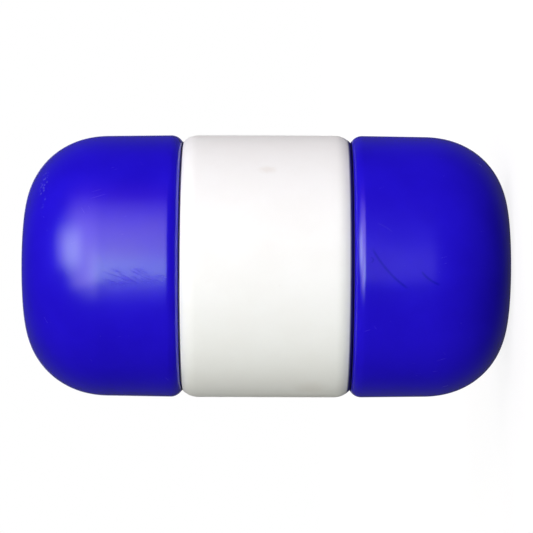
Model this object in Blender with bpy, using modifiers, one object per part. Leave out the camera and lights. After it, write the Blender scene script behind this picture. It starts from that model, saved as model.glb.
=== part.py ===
"""Rope float: a hollow float that a rope runs through from end to end.

Two blue end caps and a white centre band are welded into one shell. A tube inside
carries the rope and keeps the air chamber closed.

The float stands on its lower end cap. +Z runs along the rope hole, and the origin is
the centre of the lower end face. Profiles are lists of (radius, height) points.
"""

import math

import bpy

MM = 0.001

# Driving dimensions in metres
LENGTH = 233.0 * MM
DIAMETER = 127.0 * MM
BAND_LENGTH = 81.0 * MM  # from seam to seam
SHELL_WALL = 2.5 * MM
CLEARANCE = 0.3 * MM  # left between pieces that seat on each other

CAP_DRAFT = 0.0135  # radius lost for each unit of length towards the end
CORNER_DEPTH = 41.0 * MM  # how far the cap's big corner reaches along the float
CORNER_POWER = 2.14  # 2 is an ellipse, and more is squarer
END_FACE_RADIUS = 23.3 * MM  # the flat that the float stands on
END_WALL = 3.0 * MM

GROOVE_DEPTH = 3.2 * MM  # of the V where a cap meets the band
CAP_RIM_LENGTH = 5.5 * MM  # how far the cap's rim round reaches from the seam
BAND_RIM_LENGTH = 7.5 * MM
SEAM_GAP = 0.4 * MM

LIP_THICKNESS = 2.1 * MM  # of the cap's weld lip at the seam
LIP_LAND = 2.5 * MM  # straight stretch inside the lip, which guides the spigot
SPIGOT_LENGTH = 8.0 * MM  # of the band's spigot inside the cap
SPIGOT_WALL = 2.5 * MM
LEAD_IN = 0.8 * MM  # chamfer that starts a piece into its socket

BORE_RADIUS = 11.0 * MM  # passes a 19 mm rope
TUBE_WALL = 2.5 * MM
MOUTH_ROUND = 2.0 * MM  # where the rope leaves the end face
HUB_LENGTH = 12.0 * MM  # of the socket that holds the tube in each cap
HUB_WALL = 2.5 * MM

# Fineness of the turned surfaces
TURN_STEPS = 48
CORNER_STEPS = 14
RIM_STEPS = 5
ROUND_STEPS = 4
SHARP_ANGLE = math.radians(30.0)
MERGE_DISTANCE = 0.001 * MM

# Colour, roughness and metallic value of each plastic
BLUE_PLASTIC = ((0.016, 0.006, 0.52, 1.0), 0.32, 0.0)
WHITE_PLASTIC = ((0.84, 0.83, 0.80, 1.0), 0.38, 0.0)
TUBE_PLASTIC = ((0.70, 0.70, 0.67, 1.0), 0.45, 0.0)

# Sizes that follow from the ones above
SHELL_RADIUS = DIAMETER / 2.0
CAP_LENGTH = (LENGTH - BAND_LENGTH - SEAM_GAP) / 2.0
BAND_BOTTOM = CAP_LENGTH + SEAM_GAP
BAND_TOP = LENGTH - BAND_BOTTOM
TUBE_RADIUS = BORE_RADIUS + TUBE_WALL
SOCKET_RADIUS = TUBE_RADIUS + CLEARANCE
HUB_RADIUS = SOCKET_RADIUS + HUB_WALL


def cap_wall_radius(height):
    """Outer radius of the lower cap's drafted side at a height."""
    return SHELL_RADIUS - CAP_DRAFT * (CAP_LENGTH - height)


CAP_ROUND_RADIUS = cap_wall_radius(CAP_LENGTH - CAP_RIM_LENGTH)  # where the rim round starts
CAP_SEAM_RADIUS = CAP_ROUND_RADIUS - GROOVE_DEPTH
LIP_RADIUS = CAP_SEAM_RADIUS - LIP_THICKNESS
SPIGOT_RADIUS = LIP_RADIUS - CLEARANCE
SPIGOT_BORE = SPIGOT_RADIUS - SPIGOT_WALL
BAND_SEAM_RADIUS = SHELL_RADIUS - GROOVE_DEPTH


def rim_round(wall_radius, seam_height, rim_length):
    """Arc from the seam down to the wall, which it meets without a break."""
    arc_radius = (rim_length**2 + GROOVE_DEPTH**2) / (2.0 * GROOVE_DEPTH)
    sweep = math.atan2(rim_length, arc_radius - GROOVE_DEPTH)
    centre = wall_radius - arc_radius
    base = seam_height - rim_length
    angles = [sweep * (1.0 - step / RIM_STEPS) for step in range(RIM_STEPS + 1)]
    return [(centre + arc_radius * math.cos(a), base + arc_radius * math.sin(a)) for a in angles]


def cap_corner(skin, floor):
    """Big corner from the side to the end face, set in by a wall and a floor thickness."""
    reach = cap_wall_radius(CORNER_DEPTH) - END_FACE_RADIUS - skin
    depth = CORNER_DEPTH - floor
    power = 2.0 / CORNER_POWER
    points = []
    for step in range(CORNER_STEPS + 1):
        angle = 0.5 * math.pi * step / CORNER_STEPS
        across = abs(math.cos(angle)) ** power
        along = abs(math.sin(angle)) ** power
        points.append((END_FACE_RADIUS + reach * across, CORNER_DEPTH - depth * along))
    return points


def mouth_round():
    """Quarter round from the end face up into the rope hole."""
    angles = [0.5 * math.pi * step / ROUND_STEPS for step in range(ROUND_STEPS + 1)]
    centre = BORE_RADIUS + MOUTH_ROUND
    return [(centre - MOUTH_ROUND * math.sin(a), MOUTH_ROUND * (1.0 - math.cos(a))) for a in angles]


def cap_profile():
    """Closed section of the lower end cap, down its outside and back up its inside."""
    hub_top = END_WALL + HUB_LENGTH
    flare = CAP_LENGTH - LIP_LAND
    skin_radius = CAP_ROUND_RADIUS - SHELL_WALL
    outside = rim_round(CAP_ROUND_RADIUS, CAP_LENGTH, CAP_RIM_LENGTH)
    outside += cap_corner(0.0, 0.0)
    hub = [
        (BORE_RADIUS, END_WALL),
        (SOCKET_RADIUS, END_WALL),
        (SOCKET_RADIUS, hub_top - LEAD_IN),
        (SOCKET_RADIUS + LEAD_IN, hub_top),
        (HUB_RADIUS, hub_top),
        (HUB_RADIUS, END_WALL),
    ]
    inside = cap_corner(SHELL_WALL, END_WALL)[::-1]
    lip = [
        (skin_radius, flare - (skin_radius - LIP_RADIUS)),
        (LIP_RADIUS, flare),
        (LIP_RADIUS, CAP_LENGTH),
    ]
    return outside + mouth_round() + hub + inside + lip


def band_neck():
    """Lower end of the band's inside, from the spigot's bore up to the skin."""
    reach = SHELL_RADIUS - SHELL_WALL - SPIGOT_BORE
    rise = BAND_RIM_LENGTH - SHELL_WALL
    top = BAND_BOTTOM + BAND_RIM_LENGTH
    points = []
    for step in range(ROUND_STEPS + 1):
        angle = 0.5 * math.pi * (1.0 - step / ROUND_STEPS)
        points.append((SPIGOT_BORE + reach * math.cos(angle), top - rise * math.sin(angle)))
    return points


def upside_down(points):
    """The same points on the float's other end, in the order that keeps them running on."""
    return [(radius, LENGTH - height) for radius, height in reversed(points)]


def band_profile():
    """Closed section of the centre band, with a spigot at each end."""
    spigot_end = BAND_BOTTOM - SPIGOT_LENGTH
    lower_spigot = [
        (SPIGOT_RADIUS, BAND_BOTTOM),
        (SPIGOT_RADIUS, spigot_end + LEAD_IN),
        (SPIGOT_RADIUS - LEAD_IN, spigot_end),
        (SPIGOT_BORE, spigot_end),
    ]
    upper_round = rim_round(SHELL_RADIUS, BAND_TOP, BAND_RIM_LENGTH)
    lower_half = upside_down(upper_round) + lower_spigot + band_neck()
    return upper_round + lower_half + upside_down(lower_spigot + band_neck())


def tube_profile():
    """Closed section of the rope tube, with a chamfer at each end."""
    bottom = END_WALL + CLEARANCE
    top = LENGTH - bottom
    return [
        (TUBE_RADIUS - LEAD_IN, top),
        (TUBE_RADIUS, top - LEAD_IN),
        (TUBE_RADIUS, bottom + LEAD_IN),
        (TUBE_RADIUS - LEAD_IN, bottom),
        (BORE_RADIUS, bottom),
        (BORE_RADIUS, top),
    ]


def clear_scene():
    """Remove the objects of the scene that the script is started in."""
    for thing in list(bpy.data.objects):
        bpy.data.objects.remove(thing, do_unlink=True)


def make_plastic(name, look):
    """Principled material from a colour, a roughness and a metallic value."""
    colour, roughness, metallic = look
    material = bpy.data.materials.new(name)
    material.use_nodes = True
    shader = material.node_tree.nodes["Principled BSDF"]
    shader.inputs["Base Color"].default_value = colour
    shader.inputs["Roughness"].default_value = roughness
    shader.inputs["Metallic"].default_value = metallic
    material.diffuse_color = colour
    return material


def turn(name, profile, material, collection):
    """Turn a closed section about +Z into one solid object."""
    count = len(profile)
    section = bpy.data.meshes.new(name + "_section")
    points = [(radius, 0.0, height) for radius, height in profile]
    edges = [(index, (index + 1) % count) for index in range(count)]
    section.from_pydata(points, edges, [])

    piece = bpy.data.objects.new(name, section)
    collection.objects.link(piece)
    screw = piece.modifiers.new("Turn", "SCREW")
    screw.axis = "Z"
    screw.angle = 2.0 * math.pi
    screw.steps = TURN_STEPS
    screw.render_steps = TURN_STEPS
    screw.use_merge_vertices = True
    screw.merge_threshold = MERGE_DISTANCE

    # The turned mesh takes the section's place, so that its edges can be marked sharp
    evaluated = piece.evaluated_get(bpy.context.evaluated_depsgraph_get())
    turned = bpy.data.meshes.new_from_object(evaluated)
    turned.name = name
    piece.modifiers.clear()
    piece.data = turned
    bpy.data.meshes.remove(section)
    turned.materials.clear()
    turned.materials.append(material)
    turned.shade_smooth()
    turned.set_sharp_from_angle(angle=SHARP_ANGLE)
    return piece


def turned_over(name, original, collection):
    """The same moulding on the float's other end, turned end for end."""
    piece = bpy.data.objects.new(name, original.data)
    piece.location = (0.0, 0.0, LENGTH)
    piece.rotation_euler = (math.pi, 0.0, 0.0)
    collection.objects.link(piece)
    return piece


def build():
    clear_scene()
    collection = bpy.data.collections.new("rope_float")
    bpy.context.scene.collection.children.link(collection)

    blue = make_plastic("blue_plastic", BLUE_PLASTIC)
    white = make_plastic("white_plastic", WHITE_PLASTIC)
    tube_white = make_plastic("tube_plastic", TUBE_PLASTIC)

    lower_cap = turn("lower_end_cap", cap_profile(), blue, collection)
    turned_over("upper_end_cap", lower_cap, collection)
    turn("centre_band", band_profile(), white, collection)
    turn("rope_tube", tube_profile(), tube_white, collection)


build()
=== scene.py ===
"""Looks of the rope float: finely turned pieces, moulded plastics, soft studio light.

The float stands on its lower end cap along +Z, and the photograph shows it lying on its
side. So the camera is rolled: the picture's left is +Z, and its top is +X. The side that
faces the camera is -Y. All sizes are in metres.
"""

import math

import bpy
from mathutils import Matrix, Vector


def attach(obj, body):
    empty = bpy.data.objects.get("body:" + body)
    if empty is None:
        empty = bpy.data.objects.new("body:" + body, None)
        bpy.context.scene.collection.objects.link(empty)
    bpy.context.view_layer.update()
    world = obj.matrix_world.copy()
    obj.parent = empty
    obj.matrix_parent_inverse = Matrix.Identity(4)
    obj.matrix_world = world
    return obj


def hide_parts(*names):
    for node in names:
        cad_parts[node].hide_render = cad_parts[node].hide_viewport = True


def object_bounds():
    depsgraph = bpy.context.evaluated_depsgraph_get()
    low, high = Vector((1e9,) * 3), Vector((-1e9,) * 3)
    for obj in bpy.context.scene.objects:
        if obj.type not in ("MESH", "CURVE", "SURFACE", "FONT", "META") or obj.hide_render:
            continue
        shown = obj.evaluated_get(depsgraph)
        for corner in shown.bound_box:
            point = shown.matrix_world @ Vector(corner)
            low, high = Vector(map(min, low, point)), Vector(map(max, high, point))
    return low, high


MM = 0.001

# Sizes of the mouldings, as the solids have them
SHELL_WALL = 2.5 * MM
CAP_DRAFT = 0.0135
CORNER_DEPTH = 41.0 * MM
CORNER_POWER = 2.14
END_FACE_RADIUS = 23.3 * MM
END_WALL = 3.0 * MM
GROOVE_DEPTH = 3.2 * MM
CAP_RIM_LENGTH = 5.5 * MM
BAND_RIM_LENGTH = 7.5 * MM
BAND_LENGTH = 81.0 * MM
SEAM_GAP = 0.4 * MM
CLEARANCE = 0.3 * MM
LIP_THICKNESS = 2.1 * MM
LIP_LAND = 2.5 * MM
SPIGOT_LENGTH = 8.0 * MM
SPIGOT_WALL = 2.5 * MM
LEAD_IN = 0.8 * MM
BORE_RADIUS = 11.0 * MM
TUBE_WALL = 2.5 * MM
MOUTH_ROUND = 2.0 * MM
HUB_LENGTH = 12.0 * MM
HUB_WALL = 2.5 * MM

# Fineness of the turned surfaces
TURN_STEPS = 240
CORNER_STEPS = 56
RIM_STEPS = 24
ROUND_STEPS = 12
RUN_SPACING = 1.5 * MM
SHARP_ANGLE = math.radians(30.0)
MERGE_DISTANCE = 0.001 * MM

# The photograph's frame and the camera that took it
PICTURE_WIDTH = 533
FOCAL_PIXELS = 2482.0
SENSOR_WIDTH = 36.0
CAMERA_DISTANCE = 1.2065
CAMERA_SEES = (0.05, 50.0)  # nearest and furthest distance
FLOAT_CENTRE_PIXEL = (266.3, 266.3)
FLOAT_TILT = math.radians(0.22)

LAMP_DISTANCE = 1.5
WHITE_LIGHT = (1.0, 1.0, 1.0)
BLUSH_LIGHT = (1.0, 0.9, 1.0)
VIOLET_LIGHT = (1.0, 0.2, 1.0)
LILAC_LIGHT = (1.0, 0.65, 1.0)
COOL_LIGHT = (0.8, 1.0, 0.6)
SEA_LIGHT = (0.2, 1.0, 0.4)
WARM_LIGHT = (1.0, 0.94, 0.84)
PINK_LIGHT = (1.0, 0.94, 0.88)
ROOM_LEVEL = 0.015
BACK_WALL_LEVEL = 0.07
BACK_WALL_FROM = 0.3  # how far towards +Y a direction points where the wall begins
BACK_WALL_FULL_FROM = 0.95
FLOOR_SIZE = 8.0
FLOOR_DROP = 0.2 * MM  # so that the floor isn't in the plane of the lower end face
FLOOR_LEVEL = 1.05  # makes up for the light that the shadow's share lacks
FLOOR_MATT = (0.9, 0.9, 0.9, 1.0)
SHADOW_SHARE = 0.18  # of the floor's brightness near the float
SHADOW_FULL_TO = 0.2  # distance from the float's axis
SHADOW_GONE_AT = 0.6

POLYETHYLENE_IOR = 1.54
BLUE_GLOSS = 0.7  # 0.5 is a plain polished face
WHITE_GLOSS = 0.3
RELIEF_DEPTH = 0.06 * MM  # that a relief height of 1 stands for on the mouldings
TUBE_RELIEF_DEPTH = 0.03 * MM
NOISE_RANGE = (0.3, 0.7)  # where the values of slow noise lie
FINE_NOISE_RANGE = (0.35, 0.65)
POLISH_STRETCH = (0.03, 1.2, 0.0)  # noise cells to a millimetre, round and along the float
SCUFF_PATCHES = 0.045  # noise cells to a millimetre
SCUFF_PATCH_RANGE = (0.42, 0.62)  # of the noise, from no scuffs to all of them
SCUFF_LIMIT = 0.8  # of the noise, above which there are scuffs where the cover is 0
SCUFF_LIMIT_DROP = 0.4  # that a cover of 1 takes off the limit
SCUFF_FADE = 0.08  # of the noise, from a scuff's edge to its middle
SCRATCH_TAPER = 0.5  # share of its bow at which a scratch is at full strength
EDGE_WANDER = 0.3  # of a spot's size, to each side
EDGE_WANDER_CELLS = 0.5  # noise cells to a millimetre
SPECK_CORE = 0.3  # share of a speck's size that is at full strength
SEAM_FULL_TO = 0.5  # shares of a seam shade's reach
SEAM_GONE_AT = 1.2

# Roughness where the plastics are clear and clouded, and what their polishing lines
# take off and add
BLUE_ROUGHNESS = (0.2, 0.24)
BLUE_POLISH = (-0.01, 0.012)
WHITE_ROUGHNESS = (0.56, 0.48)
WHITE_POLISH = (-0.02, 0.03)
TUBE_ROUGHNESS = (0.42, 0.5)

# Colours of the plastics, linear
BLUE_DEEP = (0.0115, 0.0033, 0.54, 1.0)
BLUE_LIGHT = (0.0135, 0.0043, 0.6, 1.0)
BLUE_SCUFFED = (0.09, 0.08, 0.62, 1.0)
BLUE_CUT = (0.0005, 0.0002, 0.42, 1.0)
WHITE_CLEAN = (0.828, 0.87, 0.865, 1.0)
WHITE_DULL = (0.813, 0.85, 0.84, 1.0)
WHITE_SMUDGED = (0.72, 0.72, 0.68, 1.0)
WHITE_SPECK = (0.55, 0.53, 0.48, 1.0)
# Painted shade in the grooves where the mouldings meet
PAINTED_SEAM_SHADE = (0.012, 0.009, 0.15, 1.0)
TUBE_CLEAN = (0.74, 0.74, 0.7, 1.0)
TUBE_DULL = (0.66, 0.66, 0.62, 1.0)
TUBE_RUBBED = (0.5, 0.48, 0.44, 1.0)

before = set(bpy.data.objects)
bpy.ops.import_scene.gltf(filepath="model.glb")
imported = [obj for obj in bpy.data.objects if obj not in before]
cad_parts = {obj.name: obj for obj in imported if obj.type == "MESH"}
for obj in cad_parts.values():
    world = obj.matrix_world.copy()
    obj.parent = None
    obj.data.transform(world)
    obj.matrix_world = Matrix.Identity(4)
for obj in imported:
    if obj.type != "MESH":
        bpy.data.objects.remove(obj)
CAD_LOW, CAD_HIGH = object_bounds()
LENGTH = CAD_HIGH.z - CAD_LOW.z
SHELL_RADIUS = (CAD_HIGH.x - CAD_LOW.x) / 2.0
MIDDLE = Vector((0.0, 0.0, CAD_LOW.z + LENGTH / 2.0))

CAP_LENGTH = (LENGTH - BAND_LENGTH - SEAM_GAP) / 2.0
BAND_BOTTOM = CAP_LENGTH + SEAM_GAP
BAND_TOP = LENGTH - BAND_BOTTOM
CAP_TOP = LENGTH - CAP_LENGTH
TUBE_RADIUS = BORE_RADIUS + TUBE_WALL
SOCKET_RADIUS = TUBE_RADIUS + CLEARANCE
HUB_RADIUS = SOCKET_RADIUS + HUB_WALL


# Turned pieces


def cap_wall_radius(height):
    """Outer radius of the lower cap's drafted side at a height."""
    return SHELL_RADIUS - CAP_DRAFT * (CAP_LENGTH - height)


CAP_ROUND_RADIUS = cap_wall_radius(CAP_LENGTH - CAP_RIM_LENGTH)
LIP_RADIUS = CAP_ROUND_RADIUS - GROOVE_DEPTH - LIP_THICKNESS
SPIGOT_RADIUS = LIP_RADIUS - CLEARANCE
SPIGOT_BORE = SPIGOT_RADIUS - SPIGOT_WALL


def rim_round(wall_radius, seam_height, rim_length):
    """Arc from the seam down to the wall, which it meets without a break."""
    arc_radius = (rim_length**2 + GROOVE_DEPTH**2) / (2.0 * GROOVE_DEPTH)
    sweep = math.atan2(rim_length, arc_radius - GROOVE_DEPTH)
    centre = wall_radius - arc_radius
    base = seam_height - rim_length
    angles = [sweep * (1.0 - step / RIM_STEPS) for step in range(RIM_STEPS + 1)]
    return [(centre + arc_radius * math.cos(a), base + arc_radius * math.sin(a)) for a in angles]


def cap_corner(skin, floor):
    """Big corner from the side to the end face, set in by a wall and a floor thickness."""
    reach = cap_wall_radius(CORNER_DEPTH) - END_FACE_RADIUS - skin
    depth = CORNER_DEPTH - floor
    power = 2.0 / CORNER_POWER
    points = []
    for step in range(CORNER_STEPS + 1):
        angle = 0.5 * math.pi * step / CORNER_STEPS
        across = abs(math.cos(angle)) ** power
        along = abs(math.sin(angle)) ** power
        points.append((END_FACE_RADIUS + reach * across, CORNER_DEPTH - depth * along))
    return points


def mouth_round():
    """Quarter round from the end face up into the rope hole."""
    angles = [0.5 * math.pi * step / ROUND_STEPS for step in range(ROUND_STEPS + 1)]
    centre = BORE_RADIUS + MOUTH_ROUND
    return [(centre - MOUTH_ROUND * math.sin(a), MOUTH_ROUND * (1.0 - math.cos(a))) for a in angles]


def cap_profile():
    """Closed section of the lower end cap, down its outside and back up its inside."""
    hub_top = END_WALL + HUB_LENGTH
    flare = CAP_LENGTH - LIP_LAND
    skin_radius = CAP_ROUND_RADIUS - SHELL_WALL
    outside = rim_round(CAP_ROUND_RADIUS, CAP_LENGTH, CAP_RIM_LENGTH)
    outside += cap_corner(0.0, 0.0)
    hub = [
        (BORE_RADIUS, END_WALL),
        (SOCKET_RADIUS, END_WALL),
        (SOCKET_RADIUS, hub_top - LEAD_IN),
        (SOCKET_RADIUS + LEAD_IN, hub_top),
        (HUB_RADIUS, hub_top),
        (HUB_RADIUS, END_WALL),
    ]
    inside = cap_corner(SHELL_WALL, END_WALL)[::-1]
    lip = [
        (skin_radius, flare - (skin_radius - LIP_RADIUS)),
        (LIP_RADIUS, flare),
        (LIP_RADIUS, CAP_LENGTH),
    ]
    return outside + mouth_round() + hub + inside + lip


def turned_over(points):
    """The same points on the float's other end, in the order that keeps them running on."""
    return [(radius, LENGTH - height) for radius, height in reversed(points)]


def band_profile():
    """Closed section of the centre band, with a spigot at each end."""
    spigot_end = BAND_BOTTOM - SPIGOT_LENGTH
    reach = SHELL_RADIUS - SHELL_WALL - SPIGOT_BORE
    rise = BAND_RIM_LENGTH - SHELL_WALL
    lower_spigot = [
        (SPIGOT_RADIUS, BAND_BOTTOM),
        (SPIGOT_RADIUS, spigot_end + LEAD_IN),
        (SPIGOT_RADIUS - LEAD_IN, spigot_end),
        (SPIGOT_BORE, spigot_end),
    ]
    neck = []
    for step in range(ROUND_STEPS + 1):
        angle = 0.5 * math.pi * (1.0 - step / ROUND_STEPS)
        height = BAND_BOTTOM + BAND_RIM_LENGTH - rise * math.sin(angle)
        neck.append((SPIGOT_BORE + reach * math.cos(angle), height))
    upper_round = rim_round(SHELL_RADIUS, BAND_TOP, BAND_RIM_LENGTH)
    lower_half = turned_over(upper_round) + lower_spigot + neck
    return upper_round + lower_half + turned_over(lower_spigot + neck)


def tube_profile():
    """Closed section of the rope tube, with a chamfer at each end."""
    bottom = END_WALL + CLEARANCE
    top = LENGTH - bottom
    return [
        (TUBE_RADIUS - LEAD_IN, top),
        (TUBE_RADIUS, top - LEAD_IN),
        (TUBE_RADIUS, bottom + LEAD_IN),
        (TUBE_RADIUS - LEAD_IN, bottom),
        (BORE_RADIUS, bottom),
        (BORE_RADIUS, top),
    ]


def with_even_runs(profile):
    """The closed section with points added on its long straight runs.

    Short faces beside each round keep the shading of the straight wall straight.
    """
    points = []
    for index, start in enumerate(profile):
        end = profile[(index + 1) % len(profile)]
        pieces = max(1, math.ceil(math.dist(start, end) / RUN_SPACING))
        for step in range(pieces):
            share = step / pieces
            radius = start[0] + share * (end[0] - start[0])
            height = start[1] + share * (end[1] - start[1])
            points.append((radius, height))
    return points


def turn(name, profile, node):
    """Turn a closed section about +Z into a piece that stands for a node of the frame."""
    section = bpy.data.meshes.new(name + "_section")
    points = with_even_runs(profile)
    edges = [(index, (index + 1) % len(points)) for index in range(len(points))]
    section.from_pydata([(radius, 0.0, height) for radius, height in points], edges, [])
    piece = bpy.data.objects.new(name, section)
    bpy.context.scene.collection.objects.link(piece)
    screw = piece.modifiers.new("Turn", "SCREW")
    screw.axis = "Z"
    screw.angle = 2.0 * math.pi
    screw.steps = TURN_STEPS
    screw.render_steps = TURN_STEPS
    screw.use_merge_vertices = True
    screw.merge_threshold = MERGE_DISTANCE

    evaluated = piece.evaluated_get(bpy.context.evaluated_depsgraph_get())
    turned = bpy.data.meshes.new_from_object(evaluated)
    turned.name = name
    piece.modifiers.clear()
    piece.data = turned
    bpy.data.meshes.remove(section)
    turned.shade_smooth()
    turned.set_sharp_from_angle(angle=SHARP_ANGLE)
    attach(piece, "root")
    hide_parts(node)
    return piece


# Building blocks for the materials. A value that goes into a node is a number, a tuple
# or another node's output.


def plug(tree, socket, value):
    """Link an output to a socket, or set the socket to a plain value."""
    if isinstance(value, bpy.types.NodeSocket):
        tree.links.new(value, socket)
    else:
        socket.default_value = value


def calculate(tree, operation, first, second=0.0):
    node = tree.nodes.new("ShaderNodeMath")
    node.operation = operation
    plug(tree, node.inputs[0], first)
    plug(tree, node.inputs[1], second)
    return node.outputs["Value"]


def calculate_vector(tree, operation, first, second=(0.0, 0.0, 0.0)):
    node = tree.nodes.new("ShaderNodeVectorMath")
    node.operation = operation
    plug(tree, node.inputs[0], first)
    plug(tree, node.inputs[1], second)
    return node.outputs["Value" if operation in {"LENGTH", "DOT_PRODUCT"} else "Vector"]


def spread(tree, value, low, high, to_low=0.0, to_high=1.0):
    """Map low..high smoothly onto to_low..to_high, and hold the ends."""
    node = tree.nodes.new("ShaderNodeMapRange")
    node.interpolation_type = "SMOOTHSTEP"
    plug(tree, node.inputs["Value"], value)
    plug(tree, node.inputs["From Min"], low)
    plug(tree, node.inputs["From Max"], high)
    plug(tree, node.inputs["To Min"], to_low)
    plug(tree, node.inputs["To Max"], to_high)
    return node.outputs["Result"]


def noise(tree, vector, scale, detail):
    node = tree.nodes.new("ShaderNodeTexNoise")
    plug(tree, node.inputs["Vector"], vector)
    plug(tree, node.inputs["Scale"], scale)
    node.inputs["Detail"].default_value = detail
    return node.outputs["Fac"]


def blend(tree, factor, first, second):
    """Blend from the first colour to the second."""
    node = tree.nodes.new("ShaderNodeMix")
    node.data_type = "RGBA"  # whose colour sockets are inputs 6 and 7 and output 2
    plug(tree, node.inputs["Factor"], factor)
    plug(tree, node.inputs[6], first)
    plug(tree, node.inputs[7], second)
    return node.outputs[2]


def add_up(tree, *values):
    """Sum of values. A pair is a value and the strength that it is added with."""
    values = [calculate(tree, "MULTIPLY", *v) if isinstance(v, tuple) else v for v in values]
    total = values[0]
    for value in values[1:]:
        total = calculate(tree, "ADD", total, value)
    return total


def lay_over(tree, colour, *layers):
    """Lay worn colours over a colour. A layer is a mask, its strength and its colour."""
    for mask, strength, worn in layers:
        colour = blend(tree, calculate(tree, "MULTIPLY", mask, strength), colour, worn)
    return colour


def new_group(name, inputs, outputs):
    """Empty shader node group. An input is a name and a default, and an output is a name.

    A default of three numbers makes a vector socket, and so does an output whose name
    ends in "place".
    """
    tree = bpy.data.node_groups.new(name, "ShaderNodeTree")
    for label, default in inputs:
        kind = "NodeSocketVector" if isinstance(default, tuple) else "NodeSocketFloat"
        socket = tree.interface.new_socket(label, in_out="INPUT", socket_type=kind)
        socket.default_value = default
    for label in outputs:
        kind = "NodeSocketVector" if label.endswith("place") else "NodeSocketFloat"
        tree.interface.new_socket(label, in_out="OUTPUT", socket_type=kind)
    entry = tree.nodes.new("NodeGroupInput")
    way_out = tree.nodes.new("NodeGroupOutput")
    return tree, entry.outputs, way_out.inputs


def place_group(tree, group, **values):
    """Put a group into a tree. A socket's name takes an underscore for each space."""
    node = tree.nodes.new("ShaderNodeGroup")
    node.node_tree = group
    for label, value in values.items():
        plug(tree, node.inputs[label.replace("_", " ")], value)
    return node.outputs


def effect_mask(tree, group, place, values):
    """Mask of an effect at a place, which goes into the group's first socket."""
    outputs = place_group(tree, group, **values)
    plug(tree, outputs["Mask"].node.inputs[0], place)
    return outputs["Mask"]


# Effects that the plastics share


def surface_places():
    """Where a point is on the float, in millimetres.

    The unrolled place is the distance round the float from the camera's side towards +X,
    and the height along it.
    """
    tree, _, way_out = new_group("surface places", [], ["Solid place", "Unrolled place"])
    coordinates = tree.nodes.new("ShaderNodeTexCoord").outputs["Object"]
    solid = tree.nodes.new("ShaderNodeVectorMath")
    solid.operation = "SCALE"
    plug(tree, solid.inputs[0], coordinates)
    solid.inputs["Scale"].default_value = 1.0 / MM
    parts = tree.nodes.new("ShaderNodeSeparateXYZ")
    plug(tree, parts.inputs[0], solid.outputs["Vector"])
    toward_camera = calculate(tree, "MULTIPLY", parts.outputs["Y"], -1.0)
    angle = calculate(tree, "ARCTAN2", parts.outputs["X"], toward_camera)
    unrolled = tree.nodes.new("ShaderNodeCombineXYZ")
    plug(tree, unrolled.inputs["X"], calculate(tree, "MULTIPLY", angle, SHELL_RADIUS / MM))
    plug(tree, unrolled.inputs["Y"], parts.outputs["Z"])
    plug(tree, way_out["Solid place"], solid.outputs["Vector"])
    plug(tree, way_out["Unrolled place"], unrolled.outputs["Vector"])
    return tree


def moulded_skin():
    """Tone and height of a moulded plastic skin: clouds, slow ripples and polishing lines."""
    inputs = [
        ("Solid place", (0.0, 0.0, 0.0)),
        ("Unrolled place", (0.0, 0.0, 0.0)),
        ("Cloud size", 30.0),
        ("Ripple size", 9.0),
    ]
    tree, entry, way_out = new_group("moulded skin", inputs, ["Clouds", "Ripples", "Polish"])
    cloud_scale = calculate(tree, "DIVIDE", 1.0, entry["Cloud size"])
    ripple_scale = calculate(tree, "DIVIDE", 1.0, entry["Ripple size"])
    clouds = noise(tree, entry["Solid place"], cloud_scale, detail=4.0)
    ripples = noise(tree, entry["Solid place"], ripple_scale, detail=2.0)
    # The mould was turned and polished, so its finest lines run round the float
    stretched = calculate_vector(tree, "MULTIPLY", entry["Unrolled place"], POLISH_STRETCH)
    plug(tree, way_out["Clouds"], spread(tree, clouds, *NOISE_RANGE))
    plug(tree, way_out["Ripples"], ripples)
    plug(tree, way_out["Polish"], noise(tree, stretched, 1.0, detail=3.0))
    return tree


def hair_scuffs():
    """Mask of fine straight scuffs that run one way and come in patches.

    Seen from outside with +Z up, the slope leans clockwise from the way round the float.
    An evenness of 1 does away with the patches.
    """
    inputs = [
        ("Unrolled place", (0.0, 0.0, 0.0)),
        ("Slope", 0.0),
        ("Length", 14.0),
        ("Width", 0.5),
        ("Cover", 0.3),
        ("Evenness", 0.0),
    ]
    tree, entry, way_out = new_group("hair scuffs", inputs, ["Mask"])
    turned = tree.nodes.new("ShaderNodeVectorRotate")
    turned.rotation_type = "Z_AXIS"
    plug(tree, turned.inputs["Vector"], entry["Unrolled place"])
    plug(tree, turned.inputs["Angle"], entry["Slope"])
    squeeze = tree.nodes.new("ShaderNodeCombineXYZ")
    plug(tree, squeeze.inputs["X"], calculate(tree, "DIVIDE", 1.0, entry["Length"]))
    plug(tree, squeeze.inputs["Y"], calculate(tree, "DIVIDE", 1.0, entry["Width"]))
    stretched = calculate_vector(tree, "MULTIPLY", turned.outputs["Vector"], squeeze.outputs[0])
    hairs = noise(tree, stretched, 1.0, detail=1.0)
    # Only the noise's peaks are scuffs, and more cover lets lower ones through
    drop = calculate(tree, "MULTIPLY", entry["Cover"], SCUFF_LIMIT_DROP)
    limit = calculate(tree, "SUBTRACT", SCUFF_LIMIT, drop)
    lines = spread(tree, hairs, limit, calculate(tree, "ADD", limit, SCUFF_FADE))
    patches = noise(tree, entry["Unrolled place"], SCUFF_PATCHES, detail=2.0)
    patches = spread(tree, patches, *SCUFF_PATCH_RANGE)
    patches = calculate(tree, "MAXIMUM", patches, entry["Evenness"])
    plug(tree, way_out["Mask"], calculate(tree, "MULTIPLY", lines, patches))
    return tree


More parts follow.
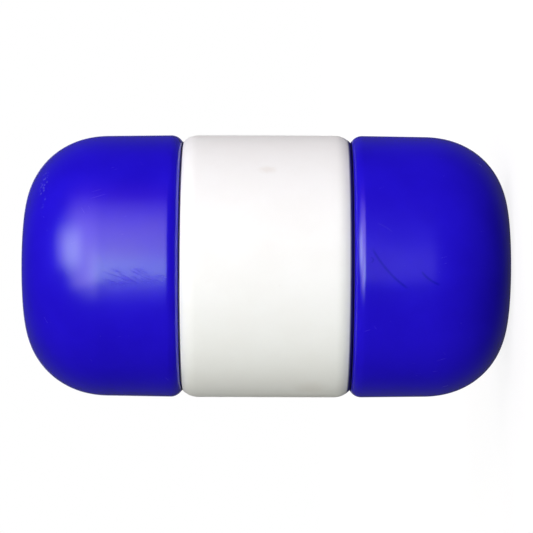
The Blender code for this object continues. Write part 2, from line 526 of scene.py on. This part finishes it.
def long_scratch():
    """Mask of one thin scratch from a start to an end, bent to one side."""
    inputs = [
        ("Unrolled place", (0.0, 0.0, 0.0)),
        ("Start place", (0.0, 0.0, 0.0)),
        ("End place", (1.0, 0.0, 0.0)),
        ("Bend", 0.0),
        ("Width", 0.4),
    ]
    tree, entry, way_out = new_group("long scratch", inputs, ["Mask"])
    run = calculate_vector(tree, "SUBTRACT", entry["End place"], entry["Start place"])
    length = calculate_vector(tree, "LENGTH", run)
    ahead = calculate_vector(tree, "NORMALIZE", run)
    aside = calculate_vector(tree, "CROSS_PRODUCT", (0.0, 0.0, 1.0), ahead)
    offset = calculate_vector(tree, "SUBTRACT", entry["Unrolled place"], entry["Start place"])
    distance = calculate_vector(tree, "DOT_PRODUCT", offset, ahead)
    share = calculate(tree, "DIVIDE", distance, length)
    left = calculate(tree, "SUBTRACT", 1.0, share)
    # A parabola that is 0 at both ends and 1 in the middle
    bow = calculate(tree, "MULTIPLY", calculate(tree, "MULTIPLY", share, left), 4.0)
    bent = calculate(tree, "MULTIPLY", bow, entry["Bend"])
    sideways = calculate(tree, "SUBTRACT", calculate_vector(tree, "DOT_PRODUCT", offset, aside), bent)
    line = spread(tree, calculate(tree, "ABSOLUTE", sideways), 0.0, entry["Width"], 1.0, 0.0)
    ends = spread(tree, bow, 0.0, SCRATCH_TAPER)
    plug(tree, way_out["Mask"], calculate(tree, "MULTIPLY", line, ends))
    return tree


def soft_spot():
    """Mask of one soft-edged oval spot, with a broken edge."""
    inputs = [
        ("Unrolled place", (0.0, 0.0, 0.0)),
        ("Middle place", (0.0, 0.0, 0.0)),
        ("Half width", 1.0),
        ("Half height", 1.0),
        ("Softness", 0.6),
    ]
    tree, entry, way_out = new_group("soft spot", inputs, ["Mask"])
    offset = calculate_vector(tree, "SUBTRACT", entry["Unrolled place"], entry["Middle place"])
    size = tree.nodes.new("ShaderNodeCombineXYZ")
    plug(tree, size.inputs["X"], entry["Half width"])
    plug(tree, size.inputs["Y"], entry["Half height"])
    size.inputs["Z"].default_value = 1.0
    reach = calculate_vector(tree, "LENGTH", calculate_vector(tree, "DIVIDE", offset, size.outputs[0]))
    ragged = noise(tree, entry["Unrolled place"], EDGE_WANDER_CELLS, detail=2.0)
    reach = add_up(tree, reach, (ragged, 2.0 * EDGE_WANDER), -EDGE_WANDER)
    inner = calculate(tree, "SUBTRACT", 1.0, entry["Softness"])
    plug(tree, way_out["Mask"], spread(tree, reach, inner, 1.0, 1.0, 0.0))
    return tree


def fine_specks():
    """Mask of small round specks, scattered at about one to each spacing."""
    inputs = [("Solid place", (0.0, 0.0, 0.0)), ("Spacing", 4.0), ("Size", 0.3), ("Cover", 0.3)]
    tree, entry, way_out = new_group("fine specks", inputs, ["Mask"])
    cells = tree.nodes.new("ShaderNodeTexVoronoi")
    plug(tree, cells.inputs["Vector"], entry["Solid place"])
    plug(tree, cells.inputs["Scale"], calculate(tree, "DIVIDE", 1.0, entry["Spacing"]))
    reach = calculate(tree, "DIVIDE", entry["Size"], entry["Spacing"])
    inner = calculate(tree, "MULTIPLY", reach, SPECK_CORE)
    dots = spread(tree, cells.outputs["Distance"], inner, reach, 1.0, 0.0)
    shade = tree.nodes.new("ShaderNodeSeparateColor")
    plug(tree, shade.inputs["Color"], cells.outputs["Color"])
    chosen = calculate(tree, "LESS_THAN", shade.outputs["Red"], entry["Cover"])
    plug(tree, way_out["Mask"], calculate(tree, "MULTIPLY", dots, chosen))
    return tree


def seam_shade():
    """Mask of the painted shade along a seam at a height."""
    inputs = [("Unrolled place", (0.0, 0.0, 0.0)), ("Seam height", 0.0), ("Reach", 0.5)]
    tree, entry, way_out = new_group("seam shade", inputs, ["Mask"])
    parts = tree.nodes.new("ShaderNodeSeparateXYZ")
    plug(tree, parts.inputs[0], entry["Unrolled place"])
    above = calculate(tree, "SUBTRACT", parts.outputs["Y"], entry["Seam height"])
    away = calculate(tree, "ABSOLUTE", above)
    inner = calculate(tree, "MULTIPLY", entry["Reach"], SEAM_FULL_TO)
    outer = calculate(tree, "MULTIPLY", entry["Reach"], SEAM_GONE_AT)
    plug(tree, way_out["Mask"], spread(tree, away, inner, outer, 1.0, 0.0))
    return tree


def build_effects():
    """Build each shared effect once, by name."""
    makers = (
        surface_places, moulded_skin, hair_scuffs, long_scratch, soft_spot, fine_specks, seam_shade,
    )
    return {maker.__name__: maker() for maker in makers}


# Scuffs of each plastic, and the photographed float's marks at their unrolled places.
# Sizes are in millimetres, and slopes in radians.
BLUE_SCUFFS_ALONG = {"Slope": 1.25, "Cover": 0.2}
BLUE_SCUFFS_ROUND = {"Slope": -0.5, "Length": 9.0, "Width": 0.35, "Cover": 0.2}
BLUE_SPECKS = {"Spacing": 7.0, "Size": 0.45, "Cover": 0.35}
WHITE_SCUFFS = {"Slope": 0.9, "Length": 8.0, "Width": 0.4, "Cover": 0.3}
WHITE_SPECKS = {"Spacing": 9.0, "Size": 0.4, "Cover": 0.3}
ROPE_RUB = {"Slope": 1.5708, "Length": 30.0, "Width": 1.5, "Cover": 0.6}  # along the tube

# Painted shade where the mouldings meet, reaching furthest at the band's lower rim, which turns away
# from the lamps
LOWER_CAP_SEAM = {"Seam_height": CAP_LENGTH / MM, "Reach": 0.3}
UPPER_CAP_SEAM = {"Seam_height": CAP_TOP / MM, "Reach": 0.25}
LOWER_BAND_SEAM = {"Seam_height": BAND_BOTTOM / MM, "Reach": 1.6}
UPPER_BAND_SEAM = {"Seam_height": BAND_TOP / MM, "Reach": 0.3}

# Dull dashes that cross the bright streak on the upper cap
RUBBED_PATCH = {
    "Middle_place": (-5.5, 179.0, 0.0),
    "Half_width": 5.5,
    "Half_height": 18.0,
    "Softness": 0.4,
}
RUBBED_DASHES = {"Slope": -1.2, "Length": 8.5, "Width": 0.75, "Cover": 0.65, "Evenness": 1.0}

# Row of fine blisters near the upper end
BLISTER_ROW = {"Middle_place": (50.0, 221.5, 0.0), "Half_width": 18.0, "Half_height": 2.6}
BLISTERS = {"Spacing": 1.8, "Size": 0.8, "Cover": 0.9}

# Scratches on the lower cap
LONG_SCRATCH = {
    "Start_place": (9.2, 68.0, 0.0),
    "End_place": (-10.6, 50.4, 0.0),
    "Bend": -1.7,
    "Width": 0.95,
}
SHORT_SCRATCH = {
    "Start_place": (-1.8, 45.2, 0.0),
    "End_place": (-8.5, 36.0, 0.0),
    "Bend": -0.9,
    "Width": 0.9,
}
PALE_SCRATCH = {
    "Start_place": (20.6, 65.5, 0.0),
    "End_place": (16.0, 58.1, 0.0),
    "Bend": 0.5,
    "Width": 0.4,
}
HOOKED_SCRATCH = {
    "Start_place": (4.6, 68.6, 0.0),
    "End_place": (1.6, 68.4, 0.0),
    "Bend": 1.3,
    "Width": 0.6,
}

# Smudges on the centre band
THUMB_SMUDGE = {
    "Middle_place": (50.4, 116.2, 0.0),
    "Half_width": 3.5,
    "Half_height": 5.5,
    "Softness": 0.8,
}
LOW_SMUDGE = {
    "Middle_place": (-73.0, 95.0, 0.0),
    "Half_width": 11.0,
    "Half_height": 10.0,
    "Softness": 0.9,
}


# Plastics


def make_material(name):
    """A node material, with its tree and its Principled shader."""
    material = bpy.data.materials.new(name)
    material.use_nodes = True
    return material, material.node_tree, material.node_tree.nodes["Principled BSDF"]


def raise_surface(tree, shader, height, depth):
    """Bump the shader's normal by a height of 0 to 1 that stands for a depth in metres."""
    bump = tree.nodes.new("ShaderNodeBump")
    bump.inputs["Strength"].default_value = 1.0
    bump.inputs["Distance"].default_value = depth
    plug(tree, bump.inputs["Height"], height)
    plug(tree, shader.inputs["Normal"], bump.outputs["Normal"])


def blue_plastic(effects):
    """Deep blue gloss plastic of the end caps, with the photographed float's marks and painted shade at
    the seams.
    """
    material, tree, shader = make_material("moulded_blue")
    shader.inputs["IOR"].default_value = POLYETHYLENE_IOR
    shader.inputs["Specular IOR Level"].default_value = BLUE_GLOSS
    places = place_group(tree, effects["surface_places"])
    solid, unrolled = places["Solid place"], places["Unrolled place"]
    skin = place_group(tree, effects["moulded_skin"], Solid_place=solid, Unrolled_place=unrolled)

    along = effect_mask(tree, effects["hair_scuffs"], unrolled, BLUE_SCUFFS_ALONG)
    around = effect_mask(tree, effects["hair_scuffs"], unrolled, BLUE_SCUFFS_ROUND)
    scuffs = calculate(tree, "MAXIMUM", along, around)
    specks = effect_mask(tree, effects["fine_specks"], solid, BLUE_SPECKS)

    rubbed = effect_mask(tree, effects["soft_spot"], unrolled, RUBBED_PATCH)
    dashes = effect_mask(tree, effects["hair_scuffs"], unrolled, RUBBED_DASHES)
    rubbed = calculate(tree, "MULTIPLY", rubbed, dashes)
    blister_row = effect_mask(tree, effects["soft_spot"], unrolled, BLISTER_ROW)
    blisters = effect_mask(tree, effects["fine_specks"], solid, BLISTERS)
    blisters = calculate(tree, "MULTIPLY", blister_row, blisters)

    long_one = effect_mask(tree, effects["long_scratch"], unrolled, LONG_SCRATCH)
    short_one = effect_mask(tree, effects["long_scratch"], unrolled, SHORT_SCRATCH)
    pale_one = effect_mask(tree, effects["long_scratch"], unrolled, PALE_SCRATCH)
    hooked_one = effect_mask(tree, effects["long_scratch"], unrolled, HOOKED_SCRATCH)
    dark_marks = calculate(tree, "MAXIMUM", long_one, short_one)
    dark_marks = calculate(tree, "MAXIMUM", dark_marks, hooked_one)

    colour = lay_over(
        tree,
        blend(tree, skin["Clouds"], BLUE_DEEP, BLUE_LIGHT),
        (scuffs, 0.04, BLUE_SCUFFED),
        (specks, 0.25, BLUE_SCUFFED),
        (pale_one, 0.2, BLUE_SCUFFED),
        (blisters, 0.8, BLUE_SCUFFED),
        (dark_marks, 0.9, BLUE_CUT),
    )
    # Painted shade in the grooves where the caps meet the band
    lower_seam_shade = effect_mask(tree, effects["seam_shade"], unrolled, LOWER_CAP_SEAM)
    upper_seam_shade = effect_mask(tree, effects["seam_shade"], unrolled, UPPER_CAP_SEAM)
    seam_shade_mask = calculate(tree, "MAXIMUM", lower_seam_shade, upper_seam_shade)
    colour = blend(tree, seam_shade_mask, colour, PAINTED_SEAM_SHADE)
    plug(tree, shader.inputs["Base Color"], colour)

    roughness = add_up(
        tree,
        spread(tree, skin["Clouds"], 0.0, 1.0, *BLUE_ROUGHNESS),
        spread(tree, skin["Polish"], *FINE_NOISE_RANGE, *BLUE_POLISH),
        (scuffs, 0.06),
        (rubbed, 0.16),
        (seam_shade_mask, 0.5),
    )
    plug(tree, shader.inputs["Roughness"], roughness)

    height = add_up(
        tree,
        (skin["Ripples"], 0.5),
        (skin["Polish"], 0.004),
        (scuffs, -0.006),
        (rubbed, 0.55),
        (blisters, 0.5),
    )
    raise_surface(tree, shader, height, RELIEF_DEPTH)
    return material


def white_plastic(effects):
    """White satin plastic of the centre band, with a few faint smudges and painted shade at its seams.
    """
    material, tree, shader = make_material("moulded_white")
    shader.inputs["IOR"].default_value = POLYETHYLENE_IOR
    shader.inputs["Specular IOR Level"].default_value = WHITE_GLOSS
    places = place_group(tree, effects["surface_places"])
    solid, unrolled = places["Solid place"], places["Unrolled place"]
    skin = place_group(
        tree, effects["moulded_skin"], Solid_place=solid, Unrolled_place=unrolled, Cloud_size=22.0
    )
    scuffs = effect_mask(tree, effects["hair_scuffs"], unrolled, WHITE_SCUFFS)
    specks = effect_mask(tree, effects["fine_specks"], solid, WHITE_SPECKS)
    thumb = effect_mask(tree, effects["soft_spot"], unrolled, THUMB_SMUDGE)
    low_one = effect_mask(tree, effects["soft_spot"], unrolled, LOW_SMUDGE)
    smudges = add_up(tree, thumb, (low_one, 0.7))

    colour = lay_over(
        tree,
        blend(tree, skin["Clouds"], WHITE_DULL, WHITE_CLEAN),
        (smudges, 0.5, WHITE_SMUDGED),
        (scuffs, 0.25, WHITE_SMUDGED),
        (specks, 0.5, WHITE_SPECK),
    )
    # Painted shade at the band's seams, widest along its lower rim, which faces away from the lamps
    lower_seam_shade = effect_mask(tree, effects["seam_shade"], unrolled, LOWER_BAND_SEAM)
    upper_seam_shade = effect_mask(tree, effects["seam_shade"], unrolled, UPPER_BAND_SEAM)
    seam_shade_mask = calculate(tree, "MAXIMUM", lower_seam_shade, upper_seam_shade)
    colour = blend(tree, seam_shade_mask, colour, PAINTED_SEAM_SHADE)
    plug(tree, shader.inputs["Base Color"], colour)

    roughness = add_up(
        tree,
        spread(tree, skin["Clouds"], 0.0, 1.0, *WHITE_ROUGHNESS),
        spread(tree, skin["Polish"], *FINE_NOISE_RANGE, *WHITE_POLISH),
        (scuffs, 0.12),
    )
    plug(tree, shader.inputs["Roughness"], roughness)
    height = add_up(
        tree,
        (skin["Ripples"], 0.5),
        (skin["Polish"], 0.004),
        (scuffs, -0.02),
    )
    raise_surface(tree, shader, height, RELIEF_DEPTH)
    return material


def tube_plastic(effects):
    """Off-white plastic of the rope tube, rubbed along its length by the rope."""
    material, tree, shader = make_material("extruded_white")
    shader.inputs["IOR"].default_value = POLYETHYLENE_IOR
    places = place_group(tree, effects["surface_places"])
    solid, unrolled = places["Solid place"], places["Unrolled place"]
    skin = place_group(
        tree, effects["moulded_skin"], Solid_place=solid, Unrolled_place=unrolled, Cloud_size=12.0
    )
    rope_rub = effect_mask(tree, effects["hair_scuffs"], unrolled, ROPE_RUB)
    colour = blend(tree, skin["Clouds"], TUBE_DULL, TUBE_CLEAN)
    colour = lay_over(tree, colour, (rope_rub, 0.4, TUBE_RUBBED))
    plug(tree, shader.inputs["Base Color"], colour)
    roughness = add_up(
        tree,
        spread(tree, skin["Clouds"], 0.0, 1.0, *TUBE_ROUGHNESS),
        (rope_rub, 0.1),
    )
    plug(tree, shader.inputs["Roughness"], roughness)
    raise_surface(tree, shader, skin["Ripples"], TUBE_RELIEF_DEPTH)
    return material


# Stage, lamps and camera


def make_floor():
    """White floor that only the camera sees, with a faint shadow where the float stands.

    It is clear from below, so that the lower end can be seen.
    """
    bpy.ops.mesh.primitive_plane_add(size=FLOOR_SIZE, location=(0.0, 0.0, CAD_LOW.z - FLOOR_DROP))
    floor = bpy.context.object
    floor.name = "studio_floor"
    floor.visible_diffuse = False
    floor.visible_glossy = False
    floor.visible_shadow = False
    material = bpy.data.materials.new("floor_white")
    material.use_nodes = True
    tree = material.node_tree
    tree.nodes.clear()
    white = tree.nodes.new("ShaderNodeEmission")
    white.inputs["Color"].default_value = (1.0, 1.0, 1.0, 1.0)
    white.inputs["Strength"].default_value = FLOOR_LEVEL
    matt = tree.nodes.new("ShaderNodeBsdfDiffuse")
    matt.inputs["Color"].default_value = FLOOR_MATT
    place = tree.nodes.new("ShaderNodeTexCoord").outputs["Object"]
    distance = calculate_vector(tree, "LENGTH", place)
    mix = tree.nodes.new("ShaderNodeMixShader")
    shadow = spread(tree, distance, SHADOW_FULL_TO, SHADOW_GONE_AT, SHADOW_SHARE, 0.0)
    plug(tree, mix.inputs["Fac"], shadow)
    plug(tree, mix.inputs[1], white.outputs["Emission"])
    plug(tree, mix.inputs[2], matt.outputs["BSDF"])
    either_side = tree.nodes.new("ShaderNodeMixShader")
    plug(tree, either_side.inputs["Fac"], tree.nodes.new("ShaderNodeNewGeometry").outputs["Backfacing"])
    plug(tree, either_side.inputs[1], mix.outputs["Shader"])
    plug(tree, either_side.inputs[2], tree.nodes.new("ShaderNodeBsdfTransparent").outputs["BSDF"])
    output = tree.nodes.new("ShaderNodeOutputMaterial")
    plug(tree, output.inputs["Surface"], either_side.outputs["Shader"])
    floor.data.materials.append(material)


def make_world():
    """White to the camera. To other rays, a dark room with a paler wall behind the float."""
    world = bpy.data.worlds.new("studio")
    bpy.context.scene.world = world
    world.use_nodes = True
    tree = world.node_tree
    tree.nodes.clear()
    direction = tree.nodes.new("ShaderNodeSeparateXYZ")
    plug(tree, direction.inputs[0], tree.nodes.new("ShaderNodeTexCoord").outputs["Generated"])
    room = tree.nodes.new("ShaderNodeBackground")
    room.inputs["Color"].default_value = (1.0, 1.0, 1.0, 1.0)
    room_level = spread(
        tree, direction.outputs["Y"], BACK_WALL_FROM, BACK_WALL_FULL_FROM, ROOM_LEVEL, BACK_WALL_LEVEL
    )
    plug(tree, room.inputs["Strength"], room_level)
    white = tree.nodes.new("ShaderNodeBackground")
    white.inputs["Color"].default_value = (1.0, 1.0, 1.0, 1.0)
    white.inputs["Strength"].default_value = 1.0
    path = tree.nodes.new("ShaderNodeLightPath")
    mix = tree.nodes.new("ShaderNodeMixShader")
    output = tree.nodes.new("ShaderNodeOutputWorld")
    plug(tree, mix.inputs["Fac"], path.outputs["Is Camera Ray"])
    plug(tree, mix.inputs[1], room.outputs["Background"])
    plug(tree, mix.inputs[2], white.outputs["Background"])
    plug(tree, output.inputs["Surface"], mix.outputs["Shader"])


def share_across(span, angle):
    """Where an angle falls on the flat face of a lamp that covers a span: 0 to 1."""
    middle = (span[0] + span[-1]) / 2.0
    half = math.radians(span[-1] - middle)
    return 0.5 + 0.5 * math.tan(math.radians(angle - middle)) / math.tan(half)


def soften_edges(light, arounds, rises):
    """Bring a lamp up and down again over its spans: dark, full from, full to, dark."""
    light.use_nodes = True
    tree = light.node_tree
    place = tree.nodes.new("ShaderNodeSeparateXYZ")
    plug(tree, place.inputs[0], tree.nodes.new("ShaderNodeNewGeometry").outputs["Parametric"])
    level = 1.0
    for side, span in (("X", arounds), ("Y", rises)):
        full_from, full_to = (share_across(span, angle) for angle in span[1:3])
        level = calculate(tree, "MULTIPLY", spread(tree, place.outputs[side], 0.0, full_from), level)
        fall = spread(tree, place.outputs[side], full_to, 1.0, 1.0, 0.0)
        level = calculate(tree, "MULTIPLY", fall, level)
    plug(tree, tree.nodes["Emission"].inputs["Strength"], level)


def soft_box(name, rises, arounds, colour, radiance, gloss):
    """Soft box that faces the float's middle from a stretch of directions, in degrees.

    A rise is an angle above the level of the middle. An around is an angle round the
    float, from the camera's side (-Y) towards +X. Each is a span of four: the lamp's
    edge, where it is full from, where it is full to, and its other edge.
    """
    rise = math.radians((rises[0] + rises[-1]) / 2.0)
    around = math.radians((arounds[0] + arounds[-1]) / 2.0)
    half_rise = math.radians((rises[-1] - rises[0]) / 2.0)
    half_around = math.radians((arounds[-1] - arounds[0]) / 2.0)
    width = 2.0 * LAMP_DISTANCE * math.tan(half_around) * math.cos(rise)
    height = 2.0 * LAMP_DISTANCE * math.tan(half_rise)

    level = Vector((math.sin(around), -math.cos(around), 0.0))
    across = Vector((math.cos(around), math.sin(around), 0.0))
    way = level * math.cos(rise) + Vector((0.0, 0.0, math.sin(rise)))
    facing = Matrix((across, way.cross(across), way)).transposed().to_4x4()

    light = bpy.data.lights.new(name, "AREA")
    light.shape = "RECTANGLE"
    light.size = width
    light.size_y = height
    light.color = colour
    light.energy = radiance * math.pi * width * height
    light.cycles.use_multiple_importance_sampling = gloss
    soften_edges(light, arounds, rises)
    lamp = bpy.data.objects.new(name, light)
    bpy.context.scene.collection.objects.link(lamp)
    lamp.matrix_world = Matrix.Translation(MIDDLE + LAMP_DISTANCE * way) @ facing
    lamp.visible_camera = False
    lamp.visible_glossy = gloss


# Name, rises, arounds, colour, radiance, and whether it shows in the gloss
LAMPS = (
    ("key", (2.5, 3.5, 32.0, 58.0), (-22.0, -12.0, 10.0, 70.0), BLUSH_LIGHT, 2.5, True),
    ("key_upper", (2.5, 3.5, 28.0, 56.0), (5.0, 35.0, 45.0, 88.0), VIOLET_LIGHT, 0.4, True),
    ("key_corner", (42.0, 48.0, 56.0, 66.0), (-8.0, 14.0, 28.0, 56.0), BLUSH_LIGHT, 1.7, True),
    ("core_high", (24.0, 36.0, 42.0, 56.0), (-10.0, 10.0, 20.0, 46.0), COOL_LIGHT, 3.0, True),
    ("core_low", (5.0, 11.0, 16.0, 28.0), (-30.0, -12.0, 6.0, 22.0), WHITE_LIGHT, 1.1, True),
    ("core_foot", (6.0, 12.0, 18.0, 38.0), (-36.0, -22.0, -14.0, -4.0), BLUSH_LIGHT, 0.6, True),
    ("core_streak", (1.0, 3.0, 10.0, 20.0), (-18.0, -8.0, 0.0, 12.0), SEA_LIGHT, 1.1, True),
    ("low_panel", (-12.0, -10.0, 1.0, 2.5), (-14.0, -11.0, 4.0, 24.0), LILAC_LIGHT, 0.3, True),
    ("front_fill", (-10.0, 10.0, 30.0, 50.0), (-50.0, -30.0, 30.0, 50.0), WHITE_LIGHT, 0.25, False),
    ("low_fill", (-10.0, 10.0, 30.0, 50.0), (-64.0, -49.0, -29.0, -14.0), WARM_LIGHT, 2.75, False),
    ("side_top", (-20.0, 0.0, 20.0, 40.0), (50.0, 70.0, 92.0, 112.0), PINK_LIGHT, 2.6, False),
    ("side_bottom", (-20.0, 0.0, 20.0, 40.0), (-120.0, -100.0, -80.0, -60.0), WARM_LIGHT, 0.8, False),
    ("right_fill", (-75.0, -60.0, -40.0, -25.0), (-35.0, -15.0, 15.0, 35.0), WHITE_LIGHT, 1.4, False),
    ("back_left", (30.0, 40.0, 50.0, 60.0), (100.0, 110.0, 130.0, 140.0), WHITE_LIGHT, 5.0, False),
    ("rear", (-10.0, 10.0, 30.0, 50.0), (150.0, 170.0, 190.0, 210.0), WHITE_LIGHT, 4.0, False),
    ("rear_gloss", (-5.0, 2.0, 12.0, 19.0), (166.0, 174.0, 186.0, 194.0), WHITE_LIGHT, 1.8, True),
)


def make_lamps():
    for lamp in LAMPS:
        soft_box(*lamp)


def make_camera():
    """The photograph's camera, rolled so that the standing float lies across the picture."""
    data = bpy.data.cameras.new("camera")
    data.sensor_width = SENSOR_WIDTH
    data.lens = SENSOR_WIDTH * FOCAL_PIXELS / PICTURE_WIDTH
    data.clip_start, data.clip_end = CAMERA_SEES
    camera = bpy.data.objects.new("camera", data)
    bpy.context.scene.collection.objects.link(camera)
    picture_right = Vector((0.0, 0.0, -1.0))
    picture_up = Vector((1.0, 0.0, 0.0))
    towards_camera = Vector((0.0, -1.0, 0.0))
    turn_matrix = Matrix((picture_right, picture_up, towards_camera)).transposed().to_4x4()
    metres_per_pixel = CAMERA_DISTANCE / FOCAL_PIXELS
    off_right = (PICTURE_WIDTH / 2.0 - FLOAT_CENTRE_PIXEL[0]) * metres_per_pixel
    off_down = (PICTURE_WIDTH / 2.0 - FLOAT_CENTRE_PIXEL[1]) * metres_per_pixel
    place = MIDDLE + CAMERA_DISTANCE * towards_camera + off_right * picture_right - off_down * picture_up
    camera.matrix_world = Matrix.Translation(place) @ turn_matrix @ Matrix.Rotation(FLOAT_TILT, 4, "Z")
    bpy.context.scene.camera = camera


def main():
    make_camera()
    make_world()
    make_floor()
    make_lamps()

    effects = build_effects()
    blue = blue_plastic(effects)
    white = white_plastic(effects)
    tube_white = tube_plastic(effects)
    lower_cap = turn("lower_end_cap_fine", cap_profile(), "lower_end_cap")
    upper_cap = turn("upper_end_cap_fine", turned_over(cap_profile()), "upper_end_cap")
    band = turn("centre_band_fine", band_profile(), "centre_band")
    tube = turn("rope_tube_fine", tube_profile(), "rope_tube")
    lower_cap.data.materials.append(blue)
    upper_cap.data.materials.append(blue)
    band.data.materials.append(white)
    tube.data.materials.append(tube_white)

    scene = bpy.context.scene
    scene.view_settings.view_transform = "Standard"


main()
